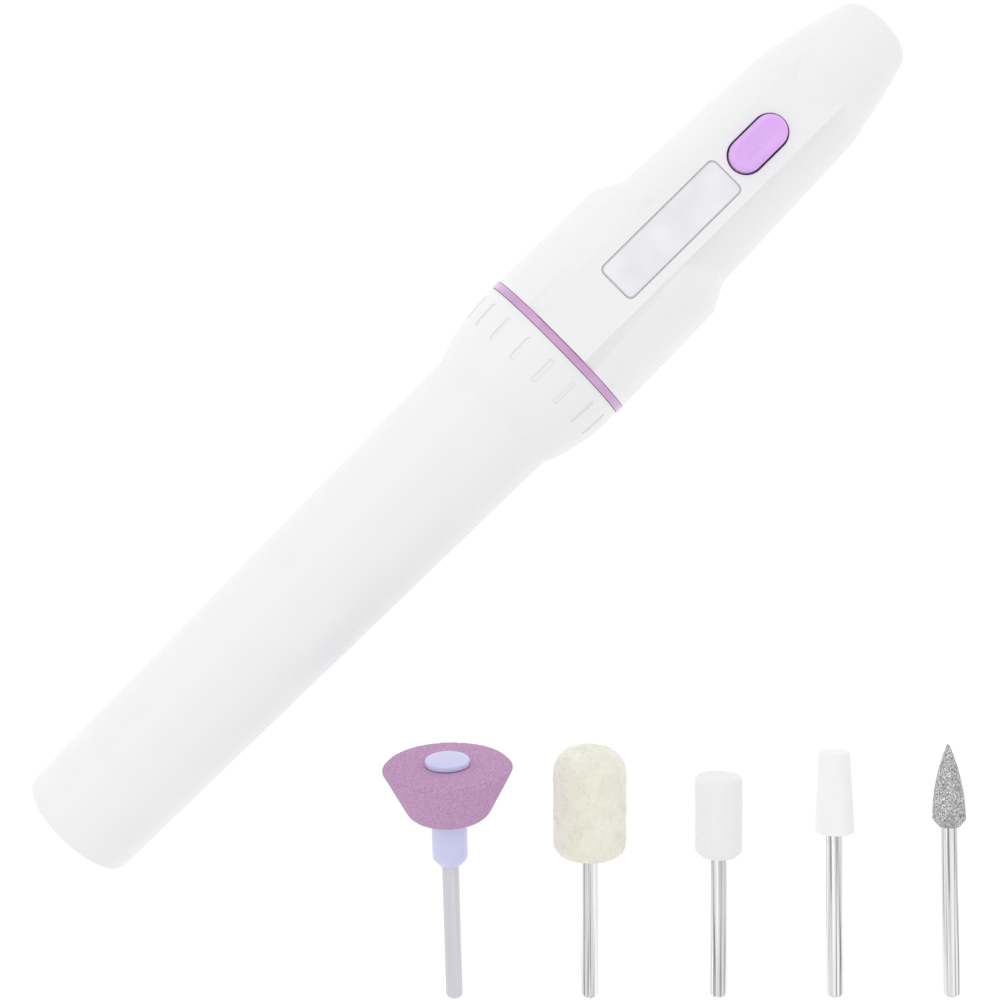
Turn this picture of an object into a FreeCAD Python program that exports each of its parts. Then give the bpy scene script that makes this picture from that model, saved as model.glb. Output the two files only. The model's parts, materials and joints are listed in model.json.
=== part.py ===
import FreeCAD, Part
import Sketcher
import math
import os
from types import SimpleNamespace

# Pen-type electric nail drill with a battery grip and five loose bits, laid out on a table.
# Every piece of the drill is drawn along its own axis: X runs from the tail (0) to the nose,
# Z is up through the on/off button, and radii are measured from the X axis. The finished
# drill is then tipped nose-up until its tail rim and its collar both rest on the table.

# Driving dimensions, in millimetres and degrees.
SIZES = {
    # battery cover, which is the rear grip
    "tail_edge_r": 9.85, "tail_rim": 1.3, "tail_r": 11.15, "grip_r": 12.67, "grip_end": 104.6,
    "flare_curve": 33.0, "mouth_r": 15.3, "mouth_x": 119.85, "cover_end_wall": 1.8,
    "cavity_tail_r": 9.35, "cavity_front_r": 10.7, "cavity_front": 106.5, "socket_x": 108.0,
    "socket_r": 12.7, "groove_x": 115.45, "groove_length": 5.0, "groove_width": 1.1,
    "groove_floor_r": 15.0, "groove_slope": 3.9, "groove_turn": 6.3,
    # bayonet between the cover and the spigot
    "lug_x": 113.0, "lug_length": 3.0, "lug_half_width": 2.2, "lug_inner_r": 11.65,
    "lug_gap": 0.35, "lug_root": 0.6, "channel_sweep": 43.0,
    # collar and spigot
    "collar_x": 119.95, "collar_width": 1.35, "collar_r": 15.5, "spigot_r": 12.6,
    "spigot_bore_r": 10.6, "spigot_tail_r": 10.1, "spigot_x": 108.3, "web_x": 112.0,
    "web_thickness": 2.5, "flange_width": 2.0,
    # head shells
    "head_x": 121.4, "head_r": 15.45, "shoulder_x": 144.3, "shoulder_r": 15.0,
    "neck_x": 149.1, "neck_r": 12.43, "brow_x": 180.4, "brow_r": 11.15, "brow_curve": 14.0,
    "cheek_x": 185.6, "cheek_r": 10.2, "cheek_curve": 60.0, "tip_x": 196.3, "tip_r": 7.6, "tip_curve": 2.9,
    "nose_x": 199.1, "nose_r": 5.7, "mouth_bore_r": 5.2,
    "hall_r": 13.3, "hall_end": 142.5, "throat_x": 147.5, "throat_r": 10.2,
    "throat_end": 176.0, "throat_end_r": 9.6, "motor_rib_x": 137.5, "motor_rib_width": 2.0,
    "seam": 0.22, "root_overlap": 0.3,
    # flat spine on the upper shell
    "spine_width": 11.1, "spine_z": 15.9, "spine_slope": 4.28, "spine_bend_x": 174.0,
    "spine_bend_z": 11.96, "spine_end_x": 185.6, "spine_end_z": 8.4, "spine_end_depth": 1.4,
    "spine_curve": 26.0, "flute_y": 8.0, "flute_z": 16.4, "flute_r": 3.2, "flute_end": 147.0,
    # label plate, on the spine
    "label_x": 147.3, "label_length": 26.6, "label_width": 7.3, "label_corner": 1.1,
    "label_depth": 0.4, "label_thickness": 0.48, "label_gap": 0.12,
    # on/off button and the switch below it, measured down from the spine's face
    "button_x": 167.8, "button_length": 11.6, "button_width": 5.9, "button_gap": 0.35,
    "button_rise": 1.25, "button_edge": 0.9, "flange_rim": 1.0,
    "flange_top": 2.7, "flange_thickness": 0.7, "pocket_top": 2.6, "plunger_r": 1.5,
    "plunger_length": 2.0, "plunger_gap": 0.1, "switch_top": 4.6, "switch_height": 2.2,
    "switch_side": 6.0, "switch_floor": 0.3,
    "board_thickness": 1.0, "board_length": 24.0, "board_width": 9.0, "board_back": 15.6,
    "spring_wire_r": 0.2, "spring_turns": 3.0, "spring_r": 1.9, "spring_pocket_r": 2.3,
    "spring_pocket": 2.0,
    # shell screws
    "rear_screw_x": 153.0, "rear_screw_y": 7.0, "front_screw_x": 171.0, "front_screw_y": 6.8,
    "screw_r": 1.0, "screw_head_r": 1.9, "screw_head": 1.2, "screw_seat_z": 5.4,
    "screw_gap": 0.15, "screw_reach": 4.0, "pilot_reach": 4.5, "lower_boss_r": 2.8,
    "upper_boss_r": 1.9, "upper_boss_height": 7.2,
    # cells, cradle and contacts
    "cell_r": 7.25, "cell_length": 50.5, "nub_r": 2.75, "nub_height": 1.0,
    "cell_edge": 0.4, "cells_x": 8.5, "cradle_x": 3.0, "cradle_r": 8.6, "cradle_bore_r": 7.4,
    "cradle_wall": 1.5, "cradle_open_z": 2.0, "strap_width": 2.4, "strap_thickness": 0.4,
    "strap_floor": 8.2, "contact_r": 4.5, "contact_thickness": 0.5, "coil_r": 3.2,
    "coil_wire_r": 0.35, "coil_turns": 3.0,
    # motor
    "motor_x": 123.0, "motor_length": 22.0, "motor_r": 10.05, "motor_flat": 7.55,
    "motor_wall": 0.6, "motor_boss_r": 3.0, "motor_boss": 1.5, "bush_gap": 0.08, "end_cap": 3.0,
    "end_cap_floor": 0.8,
    "terminal_length": 2.6, "terminal_y": 4.0, "terminal_thickness": 0.5, "terminal_width": 2.0,
    "magnet_r": 6.9, "magnet_half_height": 5.5, "core_x": 126.0, "core_length": 15.0,
    "core_r": 6.2, "core_slot": 1.4, "core_slot_depth": 3.0, "shaft_r": 1.0, "shaft_x": 121.2,
    "shaft_end": 154.5, "commutator_r": 2.6, "commutator_x": 121.4, "commutator_length": 3.2,
    "brush_length": 1.6, "brush_gap": 0.05, "brush_x": 121.8, "brush_reach": 6.0,
    # spindle, bearing and chuck
    "sleeve_x": 151.0, "sleeve_end": 158.6, "sleeve_r": 3.2, "stub_r": 1.5, "stub_x": 155.0,
    "spindle_x": 159.0, "spindle_r": 3.0, "bearing_x": 177.0, "bearing_width": 5.0,
    "bearing_r": 6.5, "race_outer_r": 5.35, "race_inner_r": 4.15, "pitch_r": 4.75,
    "ball_r": 1.0, "race_gap": 0.05, "bearing_lip_r": 5.8,
    "socket_back": 183.3, "chuck_x": 184.6, "chuck_r": 4.2, "collet_r": 2.6,
    "collet_end": 197.6, "chuck_ring_x": 196.6, "collet_slit": 0.5, "collet_slit_depth": 9.0,
    # wires
    "wire_r": 0.55, "wire_z": 8.6, "wire_bend": 1.3, "power_wire_y": 1.0, "motor_wire_y": 3.6,
    "wire_end_x": 154.0, "motor_wire_x": 118.7, "motor_wire_z": 1.0,
    # bits: one shank size for all
    "shank_r": 1.5, "shank_tip": 0.9,
    "pad_x": 35.3, "pad_foot_r": 4.8, "pad_foot_curve": 3.4, "pad_side_x": 37.2,
    "pad_side_r": 7.86, "pad_end": 45.4, "pad_large_r": 11.8, "pad_edge": 0.6,
    "hub_x": 26.2, "hub_foot": 1.5, "hub_foot_r": 1.9, "hub_r": 3.2, "hub_stem_r": 2.4,
    "cap_r": 4.0, "cap_height": 1.9, "cap_edge": 1.0, "cap_curve": 9.16, "cap_flat_r": 0.6,
    "felt_x": 27.5, "felt_end": 47.5, "felt_r": 6.6, "felt_foot": 2.4, "felt_dome": 4.5,
    "felt_dome_curve": 4.5, "felt_flat_r": 2.4, "cylinder_x": 26.6, "cylinder_end": 41.6,
    "cylinder_r": 4.35, "cylinder_chamfer": 1.1, "cylinder_edge": 0.9, "cone_x": 30.7,
    "cone_end": 45.8, "cone_large_r": 3.65, "cone_small_r": 2.88, "cone_edge": 0.5,
    "flame_x": 31.6, "flame_wide_x": 33.0, "flame_end": 47.0, "flame_r": 3.05,
    "flame_base_r": 1.9, "flame_side_curve": 36.0, "flame_tip_r": 0.25,
    "seat_depth": 9.0,
    # layout on the table: the drill's axis runs along X, the bits stand in a row across it
    "drill_x": -99.29, "drill_y": 60.3, "row_angle": 45.27, "row_back": 60.38,
    "disc_place": -45.76, "felt_place": -20.88, "cylinder_place": 2.77, "cone_place": 24.27,
    "diamond_place": 45.76,
    # how far each bit is turned out of line with the others
    "disc_yaw": 1.3, "felt_yaw": 0.5, "cylinder_yaw": 0.6, "cone_yaw": 0.9, "diamond_yaw": 1.5,
}

DEGREES_ROUND = 360
HALF_TURN = 180
PAST = 1.0  # how far a cut runs on past the piece, so that it comes out cleanly
BALL_COUNT = 9
GROOVE_COUNT = 18
LUG_COUNT = 2
CORE_SLOTS = 3
COLLET_SLITS = 3
HALF_CIRCLE_SLACK = 1e-6
EDGE_SLACK = 1e-3
TILT_ROUNDS = 20

document = FreeCAD.newDocument("nail_drill")
sheet = document.addObject("Spreadsheet::Sheet", "Sizes")
for row, (alias, value) in enumerate(SIZES.items(), start=1):
    sheet.set("A%d" % row, alias)
    sheet.set("B%d" % row, str(value))
    sheet.setAlias("B%d" % row, alias)
document.recompute()


class Size:
    """A dimension that carries its number and the sheet expression it is worked out from."""

    def __init__(self, number, text):
        self.number = number
        self.text = text

    def __add__(self, other):
        other = as_size(other)
        return Size(self.number + other.number, "(%s + %s)" % (self.text, other.text))

    def __sub__(self, other):
        other = as_size(other)
        return Size(self.number - other.number, "(%s - %s)" % (self.text, other.text))

    def __mul__(self, factor):
        factor = as_size(factor)
        return Size(self.number * factor.number, "(%s * %s)" % (self.text, factor.text))

    def __truediv__(self, factor):
        factor = as_size(factor)
        return Size(self.number / factor.number, "(%s / %s)" % (self.text, factor.text))

    def __neg__(self):
        return Size(-self.number, "(-1 * %s)" % self.text)


def as_size(value):
    """A plain number becomes a size of its own."""
    if isinstance(value, Size):
        return value
    return Size(float(value), "(%r)" % float(value))


def chord_half(radius, height):
    """Half the width of a round section at a height above its centre."""
    number = math.sqrt(radius.number ** 2 - height.number ** 2)
    return Size(number, "sqrt(%s ^ 2 - %s ^ 2)" % (radius.text, height.text))


d = SimpleNamespace(**{name: Size(float(value), "Sizes." + name) for name, value in SIZES.items()})
SPINE_TILT = FreeCAD.Rotation(FreeCAD.Vector(0, 1, 0), d.spine_slope.number)

finished = {}


# ---------------------------------------------------------------- drawing helpers

def new_body(label):
    """A new piece of the set, kept under the name of its file."""
    body = document.addObject("PartDesign::Body", label)
    body.Label = label
    finished[label] = body
    return body


def origin_feature(body, role):
    return next(item for item in body.Origin.OriginFeatures if item.Role == role)


def new_sketch(body, plane, start=0, frame=None):
    """A sketch on one of the body's origin planes, or on a plane shifted or turned from it."""
    sketch = body.newObject("Sketcher::SketchObject", body.Name + "_sketch")
    sketch.AttachmentSupport = [(origin_feature(body, plane), "")]
    sketch.MapMode = "FlatFace"
    start = as_size(start)
    if frame is None:
        sketch.AttachmentOffset = FreeCAD.Placement(FreeCAD.Vector(0, 0, start.number), FreeCAD.Rotation())
        sketch.setExpression("AttachmentOffset.Base.z", start.text)
    else:
        lift = FreeCAD.Placement(FreeCAD.Vector(0, 0, start.number), FreeCAD.Rotation())
        sketch.AttachmentOffset = frame.multiply(lift)
    return sketch


def fix_distance(sketch, kind, geometry, position, value):
    """Tie one coordinate of a point to the sheet, measured from the sketch's origin."""
    constraint = Sketcher.Constraint(kind, -1, 1, geometry, position, value.number)
    number = sketch.addConstraint(constraint)
    sketch.setExpression("Constraints[%d]" % number, value.text)


def fix_point(sketch, geometry, position, x, y):
    fix_distance(sketch, "DistanceX", geometry, position, x)
    fix_distance(sketch, "DistanceY", geometry, position, y)


def fix_radius(sketch, geometry, radius):
    number = sketch.addConstraint(Sketcher.Constraint("Radius", geometry, abs(radius.number)))
    sketch.setExpression("Constraints[%d]" % number, "abs(%s)" % radius.text)


def fix_arc(sketch, geometry, start, end):
    """Fix an arc between two corners by its radius, or a half circle by its centre."""
    chord = math.hypot(end[0].number - start[0].number, end[1].number - start[1].number)
    if abs(end[2].number) - chord / 2 > HALF_CIRCLE_SLACK:
        fix_radius(sketch, geometry, end[2])
    elif abs(end[0].number - start[0].number) < HALF_CIRCLE_SLACK:
        fix_distance(sketch, "DistanceX", geometry, 3, (start[0] + end[0]) / 2)
    else:
        fix_distance(sketch, "DistanceY", geometry, 3, (start[1] + end[1]) / 2)


def arc_between(start, end, radius):
    """An arc of the given radius; a positive one turns left on the way from start to end."""
    chord = end - start
    left = FreeCAD.Vector(-chord.y, chord.x, 0).normalize()
    height = math.sqrt(max(0.0, radius ** 2 - (chord.Length / 2) ** 2))
    centre = (start + end) * 0.5 + left * math.copysign(height, radius)
    first, last = (start, end) if radius > 0 else (end, start)
    angles = [math.atan2(point.y - centre.y, point.x - centre.x) for point in (first, last)]
    circle = Part.Circle(centre, FreeCAD.Vector(0, 0, 1), abs(radius))
    return Part.ArcOfCircle(circle, angles[0], angles[1])


def draw_outline(sketch, outline):
    """Draw a closed outline. Each corner is (x, y), or (x, y, radius) where an arc leads to it."""
    corners = [[as_size(value) for value in corner] for corner in outline]
    points = [FreeCAD.Vector(corner[0].number, corner[1].number, 0) for corner in corners]
    previous = None
    first = None
    for index, corner in enumerate(corners):
        start, end = points[index - 1], points[index]
        ends = (1, 2)
        if len(corner) == 2:
            edge = sketch.addGeometry(Part.LineSegment(start, end), False)
        else:
            edge = sketch.addGeometry(arc_between(start, end, corner[2].number), False)
            if corner[2].number < 0:
                ends = (2, 1)
        if previous is None:
            first = (edge, ends[0])
        else:
            sketch.addConstraint(Sketcher.Constraint("Coincident", *previous, edge, ends[0]))
        fix_point(sketch, edge, ends[1], corner[0], corner[1])
        if len(corner) == 3:
            fix_arc(sketch, edge, corners[index - 1], corner)
        previous = (edge, ends[1])
    sketch.addConstraint(Sketcher.Constraint("Coincident", *previous, *first))


def draw_circle(sketch, x, y, radius):
    x, y, radius = as_size(x), as_size(y), as_size(radius)
    centre = FreeCAD.Vector(x.number, y.number, 0)
    edge = sketch.addGeometry(Part.Circle(centre, FreeCAD.Vector(0, 0, 1), radius.number), False)
    fix_point(sketch, edge, 3, x, y)
    fix_radius(sketch, edge, radius)


def checked(body, cut, before):
    """Recompute, and make sure that a cut took something away and a pad added something."""
    document.recompute()
    change = body.Shape.Volume - before
    if (change >= 0) == cut:
        raise RuntimeError("%s: the last feature changed nothing" % body.Label)


def volume_of(body):
    return body.Shape.Volume if body.Tip else 0.0


def turned(body, outline, cut=False, plane="XZ_Plane", angle=DEGREES_ROUND, reverse=False):
    """Spin a closed outline of (x, radius) corners about the X axis, or cut that shape away."""
    before = volume_of(body)
    sketch = new_sketch(body, plane)
    draw_outline(sketch, outline)
    kind = "PartDesign::Groove" if cut else "PartDesign::Revolution"
    feature = body.newObject(kind, body.Name + "_turn")
    feature.Profile = sketch
    feature.ReferenceAxis = (sketch, ["H_Axis"])
    feature.Angle = as_size(angle).number
    feature.setExpression("Angle", as_size(angle).text)
    feature.Reversed = reverse
    checked(body, cut, before)
    return feature


def race_groove(body, x, radius, groove_r):
    """Cut a round race, as a ball leaves it, around the X axis."""
    before = volume_of(body)
    sketch = new_sketch(body, "XZ_Plane")
    draw_circle(sketch, x, radius, groove_r)
    feature = body.newObject("PartDesign::Groove", body.Name + "_race")
    feature.Profile = sketch
    feature.ReferenceAxis = (sketch, ["H_Axis"])
    checked(body, True, before)


def extruded(body, draw, plane, start, length, cut=False, middle=False, frame=None):
    """Pad or cut a section by a length, from a start measured along the plane's normal."""
    before = volume_of(body)
    sketch = new_sketch(body, plane, start, frame)
    draw(sketch)
    feature = body.newObject("PartDesign::Pocket" if cut else "PartDesign::Pad", body.Name + "_pull")
    feature.Profile = sketch
    length = as_size(length)
    feature.Length = length.number
    feature.setExpression("Length", length.text)
    feature.Midplane = middle
    feature.Reversed = cut and not middle
    checked(body, cut, before)
    return feature


def outlines(*drawn):
    """A drawer for one or more closed outlines."""
    return lambda sketch: [draw_outline(sketch, outline) for outline in drawn]


def circles(*drawn):
    """A drawer for one or more circles, each (x, y, radius)."""
    return lambda sketch: [draw_circle(sketch, *circle) for circle in drawn]


def rectangle(low_x, high_x, low_y, high_y):
    return [(low_x, low_y), (high_x, low_y), (high_x, high_y), (low_x, high_y)]


def stadium(x, length, width):
    """A slot with round ends, centred on the X axis."""
    radius = as_size(width) / 2
    back = x - as_size(length) / 2 + radius
    front = x + as_size(length) / 2 - radius
    return [(front, -radius), (front, radius, radius), (back, radius), (back, -radius, radius)]


def rounded_rectangle(x, length, width, corner):
    """A rectangle with round corners, centred on the X axis."""
    back, front = x - length / 2, x + length / 2
    side = width / 2
    return [(front - corner, -side), (front, -side + corner, corner), (front, side - corner),
            (front - corner, side, corner), (back + corner, side), (back, side - corner, corner),
            (back, -side + corner), (back + corner, -side, corner)]


def repeated(body, features, count):
    """Repeat features evenly around the X axis."""
    pattern = body.newObject("PartDesign::PolarPattern", body.Name + "_pattern")
    pattern.Originals = features
    pattern.Axis = (origin_feature(body, "X_Axis"), [""])
    pattern.Angle = DEGREES_ROUND
    pattern.Occurrences = count
    body.Tip = pattern
    document.recompute()


def tube(label, start, end, outer, inner):
    """A plain turned tube, or a rod where the inner radius is zero."""
    body = new_body(label)
    turned(body, rectangle(start, end, inner, outer))
    return body


def spine_frame(x):
    """The frame on the spine's face above a point of the axis: its Z leaves the face squarely."""
    drop = math.tan(math.radians(d.spine_slope.number)) * (x.number - d.head_x.number)
    return FreeCAD.Placement(FreeCAD.Vector(x.number, 0, d.spine_z.number - drop), SPINE_TILT)


# ---------------------------------------------------------------- grip

def make_battery_cover():
    """Tapered sleeve, closed at the tail and flared at the mouth, with two bayonet lugs inside."""
    body = new_body("battery_cover")
    turned(body, [
        (0, 0), (d.cover_end_wall, 0), (d.cover_end_wall, d.cavity_tail_r),
        (d.cavity_front, d.cavity_front_r), (d.socket_x, d.socket_r), (d.mouth_x, d.socket_r),
        (d.mouth_x, d.mouth_r), (d.grip_end, d.grip_r, d.flare_curve),
        (d.tail_rim, d.tail_r), (0, d.tail_edge_r, d.tail_rim)])
    slope = FreeCAD.Rotation(FreeCAD.Vector(0, 1, 0), -d.groove_slope.number)
    turn = FreeCAD.Rotation(FreeCAD.Vector(1, 0, 0), d.groove_turn.number)
    floor = FreeCAD.Placement(FreeCAD.Vector(d.groove_x.number, 0, d.groove_floor_r.number), slope)
    frame = FreeCAD.Placement(FreeCAD.Vector(), turn).multiply(floor)
    slot = outlines(stadium(as_size(0), d.groove_length, d.groove_width))
    groove = extruded(body, slot, "XY_Plane", 0, d.tail_rim, cut=True, frame=frame)
    repeated(body, [groove], GROOVE_COUNT)
    lug = outlines(rectangle(-d.lug_half_width, d.lug_half_width, d.lug_inner_r,
                             d.socket_r + d.lug_root))
    lug_pad = extruded(body, lug, "YZ_Plane", d.lug_x, d.lug_length)
    repeated(body, [lug_pad], LUG_COUNT)


def make_collar():
    tube("accent_ring", d.collar_x, d.collar_x + d.collar_width, d.collar_r, d.socket_r)


def make_bulkhead():
    """Spigot that the cover slides over, with its web, its flange and two L-shaped channels."""
    body = new_body("battery_bulkhead")
    web_end = d.web_x + d.web_thickness
    flange_end = d.head_x + d.flange_width
    turned(body, [
        (d.spigot_x, d.spigot_tail_r), (d.web_x, d.spigot_tail_r), (d.web_x, 0),
        (web_end, 0), (web_end, d.spigot_bore_r), (flange_end, d.spigot_bore_r),
        (flange_end, d.hall_r), (d.head_x, d.hall_r), (d.head_x, d.spigot_r), (d.spigot_x, d.spigot_r)])
    side = d.lug_half_width + d.lug_gap
    floor_r = d.lug_inner_r - d.lug_gap
    front = d.lug_x + d.lug_length + d.lug_gap
    way = outlines(rectangle(-side, side, floor_r, d.spigot_r + PAST))
    entry = extruded(body, way, "YZ_Plane", d.spigot_x - PAST, front - d.spigot_x + PAST, cut=True)
    sweep = rectangle(d.lug_x - d.lug_gap, front, floor_r, d.spigot_r + PAST)
    track = turned(body, sweep, cut=True, angle=d.channel_sweep)
    repeated(body, [entry, track], LUG_COUNT)


def make_cradle():
    """Open trough for the cells, with a wall at each end and a slot below for the strap."""
    body = new_body("battery_cradle")
    turned(body, rectangle(d.cradle_x, d.web_x, 0, d.cradle_r))
    inside = d.cradle_x + d.cradle_wall
    room = d.web_x - d.cradle_wall - inside
    extruded(body, circles((0, 0, d.cradle_bore_r)), "YZ_Plane", inside, room, cut=True)
    wide = d.cradle_r + PAST
    opening = outlines(rectangle(-wide, wide, d.cradle_open_z, wide))
    extruded(body, opening, "YZ_Plane", inside, room, cut=True)
    slot_side = d.strap_width / 2
    slot = outlines(rectangle(-slot_side, slot_side, -wide, -d.strap_floor))
    extruded(body, slot, "YZ_Plane", d.cradle_x - PAST, d.web_x - d.cradle_x + PAST * 2, cut=True)


def make_cells():
    for label, cell_x in (("battery_rear", d.cells_x), ("battery_front", d.cells_x + d.cell_length)):
        body = new_body(label)
        end = cell_x + d.cell_length
        can_end = end - d.nub_height
        edge = d.cell_edge
        turned(body, [
            (cell_x, 0), (cell_x, d.cell_r - edge), (cell_x + edge, d.cell_r), (can_end - edge, d.cell_r),
            (can_end, d.cell_r - edge), (can_end, d.nub_r), (end, d.nub_r), (end, 0)])


def make_contacts():
    cells_end = d.cells_x + d.cell_length * 2
    tube("positive_contact", cells_end, cells_end + d.contact_thickness, d.contact_r, 0)
    strap = new_body("negative_strap")
    side = d.strap_width / 2
    section = outlines(rectangle(-side, side, -d.strap_floor - d.strap_thickness, -d.strap_floor))
    extruded(strap, section, "YZ_Plane", d.cradle_x, d.web_x - d.cradle_x)
    seat_x = d.cradle_x.number + d.cradle_wall.number + d.coil_wire_r.number
    forwards = FreeCAD.Rotation(FreeCAD.Vector(0, 1, 0), 90)
    place = FreeCAD.Placement(FreeCAD.Vector(seat_x, 0, 0), forwards)
    length = d.cells_x - d.cradle_x - d.cradle_wall - d.coil_wire_r * 2
    coil_spring("negative_spring", place, length, d.coil_r, d.coil_wire_r, d.coil_turns)


def coil_spring(label, start, length, coil_r, wire_r, turns):
    """An open coil along the piece's own Z axis, swept from a round wire section."""
    helix = document.addObject("Part::Helix", label + "_path")
    helix.setExpression("Height", length.text)
    helix.setExpression("Pitch", (length / turns).text)
    helix.setExpression("Radius", coil_r.text)
    wire = document.addObject("Part::Circle", label + "_wire")
    wire.setExpression("Radius", wire_r.text)
    across = FreeCAD.Rotation(FreeCAD.Vector(1, 0, 0), 90)
    wire.Placement = FreeCAD.Placement(FreeCAD.Vector(coil_r.number, 0, 0), across)
    wire.setExpression("Placement.Base.x", coil_r.text)
    coil = document.addObject("Part::Sweep", label)
    coil.Label = label
    coil.Sections = [wire]
    coil.Spine = (helix, ["Edge1"])
    coil.Solid = True
    coil.Frenet = True
    document.recompute()
    coil.Placement = start
    finished[label] = coil


# ---------------------------------------------------------------- head

def head_outside(inset=0):
    """The head's outer line from the collar to the nose, drawn inwards by an inset."""
    inset = as_size(inset)
    return [
        (d.head_x, d.head_r - inset), (d.shoulder_x, d.shoulder_r - inset),
        (d.neck_x, d.neck_r - inset), (d.brow_x, d.brow_r - inset),
        (d.cheek_x, d.cheek_r - inset, -d.brow_curve),
        (d.tip_x, d.tip_r - inset, -d.cheek_curve),
        (d.nose_x, d.nose_r - inset, -d.tip_curve)]


def head_inside():
    """The head's inner line from the nose back to the collar: bearing seat, throat, motor hall."""
    bearing_end = d.bearing_x + d.bearing_width
    rib_end = d.motor_rib_x + d.motor_rib_width
    return [
        (d.nose_x, d.mouth_bore_r), (bearing_end, d.mouth_bore_r), (bearing_end, d.bearing_r),
        (d.bearing_x, d.bearing_r), (d.bearing_x, d.bearing_lip_r), (d.throat_end, d.bearing_lip_r),
        (d.throat_end, d.throat_end_r), (d.throat_x, d.throat_r), (d.hall_end, d.hall_r),
        (rib_end, d.hall_r), (rib_end, d.motor_r), (d.motor_rib_x, d.motor_r),
        (d.motor_rib_x, d.hall_r), (d.head_x, d.hall_r)]


def screw_places():
    return [(x, y * side) for side in (1, -1)
            for x, y in ((d.rear_screw_x, d.rear_screw_y), (d.front_screw_x, d.front_screw_y))]


def make_upper_shell():
    """Upper half of the head: flat spine, label recess, button opening and screw posts."""
    body = new_body("upper_shell")
    turned(body, head_outside() + head_inside(), plane="XY_Plane", angle=HALF_TURN)
    flutes = circles((d.flute_y, d.flute_z, d.flute_r), (-d.flute_y, d.flute_z, d.flute_r))
    extruded(body, flutes, "YZ_Plane", d.head_x - PAST, d.flute_end - d.head_x + PAST, cut=True)
    posts = circles(*[(x, y, d.upper_boss_r) for x, y in screw_places()])
    extruded(body, posts, "XY_Plane", 0, d.upper_boss_height)
    spine_root_z = d.hall_r + d.root_overlap
    throat_root_z = d.throat_r + d.root_overlap
    spine = outlines([
        (d.head_x, spine_root_z), (d.hall_end + PAST, spine_root_z), (d.throat_x + PAST, throat_root_z),
        (d.brow_x, d.throat_end_r), (d.spine_end_x, d.spine_end_z - d.spine_end_depth),
        (d.spine_end_x, d.spine_end_z),
        (d.spine_bend_x, d.spine_bend_z, d.spine_curve), (d.head_x, d.spine_z)])
    extruded(body, spine, "XZ_Plane", 0, d.spine_width, middle=True)
    crown = outlines([
        (d.head_x - PAST, d.spine_z + PAST), (d.head_x, d.spine_z), (d.spine_bend_x, d.spine_bend_z),
        (d.spine_bend_x, d.spine_z + PAST)])
    extruded(body, crown, "XZ_Plane", 0, d.spine_width, cut=True, middle=True)
    pilots = circles(*[(x, y, d.screw_r) for x, y in screw_places()])
    extruded(body, pilots, "XY_Plane", 0, d.pilot_reach, cut=True)
    button = spine_frame(d.button_x)
    opening = outlines(stadium(as_size(0), d.button_length + d.button_gap * 2,
                               d.button_width + d.button_gap * 2))
    extruded(body, opening, "XY_Plane", -d.throat_r / 2, d.throat_r, cut=True, frame=button)
    rim = d.flange_rim * 2 + d.button_gap * 2
    room = outlines(stadium(as_size(0), d.button_length + rim, d.button_width + rim))
    extruded(body, room, "XY_Plane", -d.throat_r / 2, d.throat_r / 2 - d.pocket_top, cut=True, frame=button)
    recess = outlines(rounded_rectangle(as_size(0), d.label_length + d.label_gap * 2,
                                        d.label_width + d.label_gap * 2, d.label_corner))
    label = spine_frame(d.label_x)
    extruded(body, recess, "XY_Plane", -d.label_depth, d.label_depth * 3, cut=True, frame=label)


def make_lower_shell():
    """Lower half of the head, with four counterbored screw posts and a fine rebate at the seam."""
    body = new_body("lower_shell")
    turned(body, head_outside() + head_inside(), plane="XY_Plane", angle=HALF_TURN, reverse=True)
    posts = circles(*[(x, y, d.lower_boss_r) for x, y in screw_places()])
    extruded(body, posts, "XY_Plane", -d.throat_end_r, d.throat_end_r)
    clear_of_head = d.head_r + PAST
    line = head_outside()
    turned(body, line + [(d.nose_x, clear_of_head), (d.head_x, clear_of_head)], cut=True)
    heads = circles(*[(x, y, d.screw_head_r + d.screw_gap) for x, y in screw_places()])
    extruded(body, heads, "XY_Plane", -d.head_r, d.head_r - d.screw_seat_z, cut=True)
    shanks = circles(*[(x, y, d.screw_r + d.screw_gap) for x, y in screw_places()])
    extruded(body, shanks, "XY_Plane", -d.head_r, d.head_r, cut=True)
    for side in (1, -1):
        rebate = [(x, r * side, *[bend * side for bend in bends]) for x, r, *bends in head_outside(d.seam)]
        beyond = [(d.nose_x, clear_of_head * side), (d.head_x, clear_of_head * side)]
        extruded(body, outlines(rebate + beyond), "XY_Plane", -d.seam, d.seam, cut=True)


def make_screws():
    """Four self-tapping screws that hold the shells together, head down."""
    body = new_body("shell_screws")
    places = screw_places()
    heads = circles(*[(x, y, d.screw_head_r) for x, y in places])
    extruded(body, heads, "XY_Plane", -d.screw_seat_z - d.screw_head, d.screw_head)
    shanks = circles(*[(x, y, d.screw_r) for x, y in places])
    extruded(body, shanks, "XY_Plane", -d.screw_seat_z, d.screw_seat_z + d.screw_reach)


def make_label_plate():
    body = new_body("label_plate")
    plate = outlines(rounded_rectangle(as_size(0), d.label_length, d.label_width, d.label_corner))
    extruded(body, plate, "XY_Plane", -d.label_depth, d.label_thickness, frame=spine_frame(d.label_x))


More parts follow.
